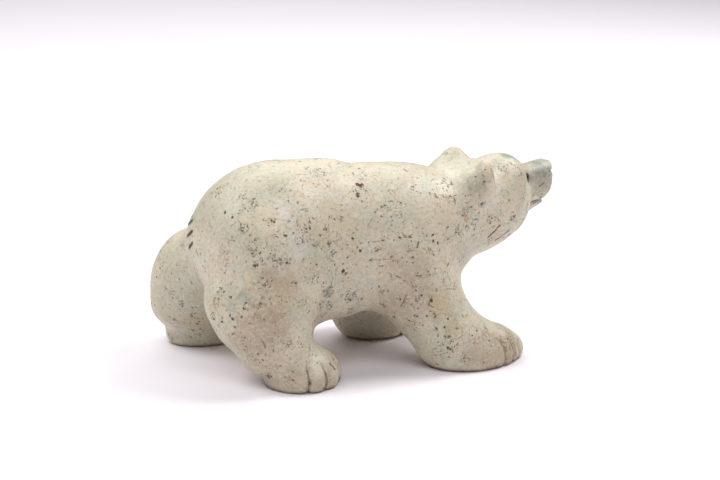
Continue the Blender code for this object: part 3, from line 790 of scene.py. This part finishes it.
def finish_stone():
    stone.use_nodes = True
    shader = stone.node_tree.nodes["Principled BSDF"]
    wires = Wires(stone.node_tree)
    place = object_place(wires, 1.0 / MM, MIDDLE)

    # Clouds of grey green, tan, straw and chalk in the cream ground
    cloud = wires.cloud(place, 0.06, 4.0, 0.55, 0.6)
    color = wires.blend(CREAM, GREY_GREEN, wires.ramp(cloud.outputs[0], 0.46, 0.66, 0.0, 0.6))
    warm = wires.cloud(wires.vector("ADD", place, (31.0, 7.0, 53.0)), 0.075, 4.0, 0.55, 0.5)
    color = wires.blend(color, PINK_TAN, wires.ramp(warm.outputs[0], 0.52, 0.70, 0.0, 0.35))
    pale = wires.cloud(wires.vector("ADD", place, (11.0, 67.0, 3.0)), 0.12, 4.0, 0.6, 0.8)
    color = wires.blend(color, CHALK, wires.ramp(pale.outputs[0], 0.52, 0.70, 0.0, 0.6))
    mottle = wires.cloud(wires.vector("ADD", place, (3.0, 19.0, 41.0)), 0.38, 3.0, 0.6, 0.4)
    color = wires.blend(color, STRAW, wires.ramp(mottle.outputs[0], 0.50, 0.64, 0.0, 0.65))
    color = wires.blend(color, PALE_GREEN, wires.ramp(mottle.outputs[0], 0.50, 0.36, 0.0, 0.6))

    # Broad patches that the photo shows
    ragged = wires.cloud(place, 0.35, 4.0, 0.6)
    ragged_edge = wires.number("MULTIPLY", wires.number("SUBTRACT", ragged.outputs[0], 0.5), 1.6)
    for pixel, radius, tint, strength in patches:
        reach = wires.number("DIVIDE", wires.vector("DISTANCE", place, seen_at(*pixel)), radius)
        share = wires.ramp(wires.number("ADD", reach, ragged_edge), 1.25, 0.35, 0.0, strength)
        color = wires.blend(color, tint, share)

    # Fine grain, and flecks of grey green, grey blue and brown
    gloss, grain = polish(wires, place, 1.3, 0.36, 0.5)
    color = wires.blend(color, CHALK, wires.ramp(grain, 0.5, 0.64, 0.0, 0.35))
    color = wires.blend(color, GRAIN_BROWN, wires.ramp(grain, 0.48, 0.32, 0.0, 0.32))
    fleck = wires.cloud(wires.vector("ADD", place, (5.0, 91.0, 17.0)), 1.7, 2.0, 0.6, 0.5)
    color = wires.blend(color, BLUE_GREY, wires.ramp(fleck.outputs[0], 0.57, 0.70, 0.0, 0.32))
    blush = wires.cloud(wires.vector("ADD", place, (71.0, 3.0, 29.0)), 1.4, 2.0, 0.6, 0.5)
    color = wires.blend(color, GRAIN_BROWN, wires.ramp(blush.outputs[0], 0.56, 0.70, 0.0, 0.42))

    # Small dark specks, few over the stone and crowded in the clusters
    warp = wires.cloud(place, 1.7, 2.0, 0.7).outputs["Color"]
    warp = wires.vector(
        "MULTIPLY", wires.vector("SUBTRACT", warp, (0.5, 0.5, 0.5)), (1.3, 1.3, 1.3)
    )
    rough_place = wires.vector("ADD", place, warp)
    faint_place = wires.vector("ADD", place, wires.vector("MULTIPLY", warp, (0.6, 0.6, 0.6)))
    crowd = wires.ramp(wires.cloud(place, 0.2, 2.0, 0.6).outputs[0], 0.50, 0.66, 0.0, 0.5)
    for pixel_x, pixel_y, radius in speck_clusters:
        distance = wires.vector("DISTANCE", rough_place, seen_at(pixel_x, pixel_y))
        crowd = wires.number("MAXIMUM", crowd, wires.ramp(distance, 1.25 * radius, 0.7 * radius))
    specks = 0.0
    for scale, size, few, many in (
        (2.4, 0.40, 0.035, 0.9), (1.5, 0.34, 0.03, 0.8), (0.8, 0.20, 0.04, 0.4)
    ):
        cell = wires.cells(rough_place, scale)
        chance, second, third = wires.parts(cell.outputs["Color"])
        likely = wires.number("LESS_THAN", chance, wires.ramp(crowd, 0.0, 1.0, few, many))
        radius = wires.number("MULTIPLY", wires.number("ADD", second, 0.35), size)
        spot = wires.ramp(wires.number("SUBTRACT", cell.outputs["Distance"], radius), 0.08, -0.08)
        depth = wires.number("MULTIPLY", wires.ramp(third, 0.0, 1.0, 0.45, 0.95), spot)
        specks = wires.number("MAXIMUM", specks, wires.number("MULTIPLY", depth, likely))
    hue = wires.cloud(place, 0.13, 2.0, 0.6).outputs[0]
    speck_color = wires.blend(DARK_GREEN, DARK_BROWN, wires.ramp(hue, 0.42, 0.58))
    color = wires.blend(color, speck_color, wires.number("MULTIPLY", specks, 0.85))

    # Pits and cracks that stand out, and dark strokes, some of them painted shade in the toe
    # lines, the mouth and the crease by the right ear
    pit = 0.0
    for pits in dark_pits.values():
        for pixel_x, pixel_y, radius in pits:
            distance = wires.vector("DISTANCE", rough_place, seen_at(pixel_x, pixel_y))
            pit = wires.number("MAXIMUM", pit, wires.ramp(distance, radius + 0.1, radius - 0.12))
    for start, end, half_width, darkness in dark_strokes:
        distance = wires.limb(faint_place, seen_at(*start), seen_at(*end), half_width, half_width)
        pit = wires.number("MAXIMUM", pit, wires.ramp(distance, 0.15, -0.06, 0.0, darkness))
    color = wires.blend(color, speck_color, wires.number("MULTIPLY", pit, 0.92))

    # The chips on the saddle and the rusty pits on the far hind leg are a redder brown
    for pixel_x, pixel_y, radius in dark_pits["chips"]:
        distance = wires.vector("DISTANCE", rough_place, seen_at(pixel_x, pixel_y))
        color = wires.blend(
            color, RED_BROWN, wires.ramp(distance, radius + 0.14, radius - 0.12, 0.0, 0.9)
        )

    # Painted shade in the cuts of mouth, nose and toes and at the foot of the soles, and cement
    # round the eyes
    painted_groove_shade = 0.0
    for line, mask in face_lines(wires, place):
        painted_groove_shade = wires.number("MAXIMUM", painted_groove_shade, wires.valley(line, 0.3, mask))
    for line, mask in toe_lines(wires, place):
        painted_groove_shade = wires.number("MAXIMUM", painted_groove_shade, wires.valley(line, 0.22, mask))
    color = wires.blend(color, PAINTED_SHADE_BROWN, wires.number("MULTIPLY", painted_groove_shade, 0.55))
    # Painted contact shade: the stone is darker over its lowest 1.3 mm, just above the soles, with
    # a ragged upper edge
    height = wires.number("ADD", wires.parts(place)[2], wires.number("MULTIPLY", ragged_edge, 0.8))
    color = wires.blend(color, PAINTED_SHADE_BROWN, wires.ramp(height, 1.3, 0.2, 0.0, 0.55))
    for side in (1.0, -1.0):
        ring = wires.vector("DISTANCE", place, eye_matrix(side).translation + MIDDLE)
        color = wires.blend(
            color, DARK_BROWN, wires.ramp(ring, EYE_RADIUS + 0.35, EYE_RADIUS + 0.15)
        )

    wires.feed(shader.inputs["Base Color"], color)
    holes = wires.number("MAXIMUM", specks, pit)
    dull_holes = wires.number("MULTIPLY", holes, 0.3)
    wires.feed(shader.inputs["Roughness"], wires.number("ADD", gloss, dull_holes))
    relief = wires.number("SUBTRACT", wires.number("MULTIPLY", grain, 0.12), holes)
    bump = stone.node_tree.nodes.new("ShaderNodeBump")
    bump.inputs["Strength"].default_value = 1.0
    bump.inputs["Distance"].default_value = STONE_BUMP * MM
    wires.feed(bump.inputs["Height"], relief)
    wires.feed(shader.inputs["Normal"], bump.outputs["Normal"])


finish_stone()
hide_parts("stone_bear")
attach(bear, "root")

# Eye inlays
# Round buttons of black stone, cut with a domed top and polished like glass. Each is cemented
# into its drilled pocket, so that only the dome and a thin rim stand out of the face.


def eye_finish():
    made = bpy.data.materials.new("polished black stone")
    made.use_nodes = True
    shader = made.node_tree.nodes["Principled BSDF"]
    wires = Wires(made.node_tree)
    place = object_place(wires, 1.0 / MM, MIDDLE)
    gloss, grain = polish(wires, place, 0.9, 0.06, 0.16)
    jet = wires.blend((0.004, 0.004, 0.006, 1.0), (0.018, 0.017, 0.020, 1.0), grain)
    wires.feed(shader.inputs["Base Color"], jet)
    wires.feed(shader.inputs["Roughness"], gloss)
    return made


EYE_BEVEL = 0.12
DOME_STEPS = 14
eye_black = eye_finish()
for name, node, side in (
    ("left_eye", "left_eye_inlay", 1.0),
    ("right_eye", "right_eye_inlay", -1.0),
):
    outline = [(0.0, -EYE_DEPTH), (EYE_RADIUS - EYE_BEVEL, -EYE_DEPTH)]
    outline.append((EYE_RADIUS, -EYE_DEPTH + EYE_BEVEL))
    outline.append((EYE_RADIUS, EYE_RIM))
    for step in range(1, DOME_STEPS + 1):
        angle = math.radians(90.0 * step / DOME_STEPS)
        outline.append((EYE_RADIUS * math.cos(angle), EYE_RIM + EYE_DOME * math.sin(angle)))
    eye_mesh = turned(outline, EYE_SIDES)
    eye_mesh.transform(Matrix.Scale(MM, 4) @ eye_matrix(side))
    eye_mesh.polygons.foreach_set("use_smooth", [True] * len(eye_mesh.polygons))
    eye_mesh.materials.append(eye_black)
    eye = bpy.data.objects.new(name, eye_mesh)
    scene.collection.objects.link(eye)
    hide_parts(node)
    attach(eye, "root")

# Floor
# A wide sheet of white card, which the carving stands on and which fills the picture.

FLOOR_RADIUS = 4.0
FLOOR_SIDES = 96
floor_mesh = bpy.data.meshes.new("floor")
floor_work = bmesh.new()
bmesh.ops.create_circle(floor_work, cap_ends=True, segments=FLOOR_SIDES, radius=FLOOR_RADIUS)
floor_work.to_mesh(floor_mesh)
floor_work.free()
floor = bpy.data.objects.new("floor", floor_mesh)
scene.collection.objects.link(floor)
card = bpy.data.materials.new("white card")
card.use_nodes = True
card_wires = Wires(card.node_tree)
card_place = object_place(card_wires, 1.0, (0.0, 0.0, 0.0))
card_cloud = card_wires.cloud(card_place, 8.0, 2.0)
card_color = card_wires.blend(
    (0.89, 0.85, 0.90, 1.0), (0.91, 0.87, 0.92, 1.0), card_cloud.outputs[0]
)
card_shader = card.node_tree.nodes["Principled BSDF"]
card_wires.feed(card_shader.inputs["Base Color"], card_color)
card_shader.inputs["Roughness"].default_value = 0.9
card_shader.inputs["Specular IOR Level"].default_value = 0.1
floor_mesh.materials.append(card)

# Light
# Soft boxes above in front, above behind and at both sides, and a wide one over the card far
# behind the carving, which keeps the top of the picture pale.

for name, place, aim, size, power in (
    ("soft box above in front", (-0.10, -0.45, 0.75), (0.0, 0.0, 0.02), 0.6, 2.7),
    ("soft box above behind", (0.05, 0.45, 0.75), (0.0, 0.0, 0.02), 0.6, 1.1),
    ("soft box on the left", (-0.55, 0.10, 0.70), (0.0, 0.0, 0.02), 0.5, 4.1),
    ("soft box on the right", (0.55, 0.10, 0.70), (0.0, 0.0, 0.02), 0.5, 5.6),
    ("soft box for the card", (0.0, 1.20, 1.00), (0.0, 1.20, 0.0), 1.4, 9.0),
):
    lamp_data = bpy.data.lights.new(name, "AREA")
    lamp_data.shape = "DISK"
    lamp_data.size = size
    lamp_data.energy = power
    lamp = bpy.data.objects.new(name, lamp_data)
    lamp.location = place
    lamp.rotation_euler = (Vector(aim) - Vector(place)).to_track_quat("-Z", "Y").to_euler()
    scene.collection.objects.link(lamp)
room = bpy.data.worlds.new("white room")
room.use_nodes = True
room.node_tree.nodes["Background"].inputs["Color"].default_value = (0.95, 0.94, 0.98, 1.0)
room.node_tree.nodes["Background"].inputs["Strength"].default_value = 0.05
scene.world = room
scene.view_settings.view_transform = "Standard"
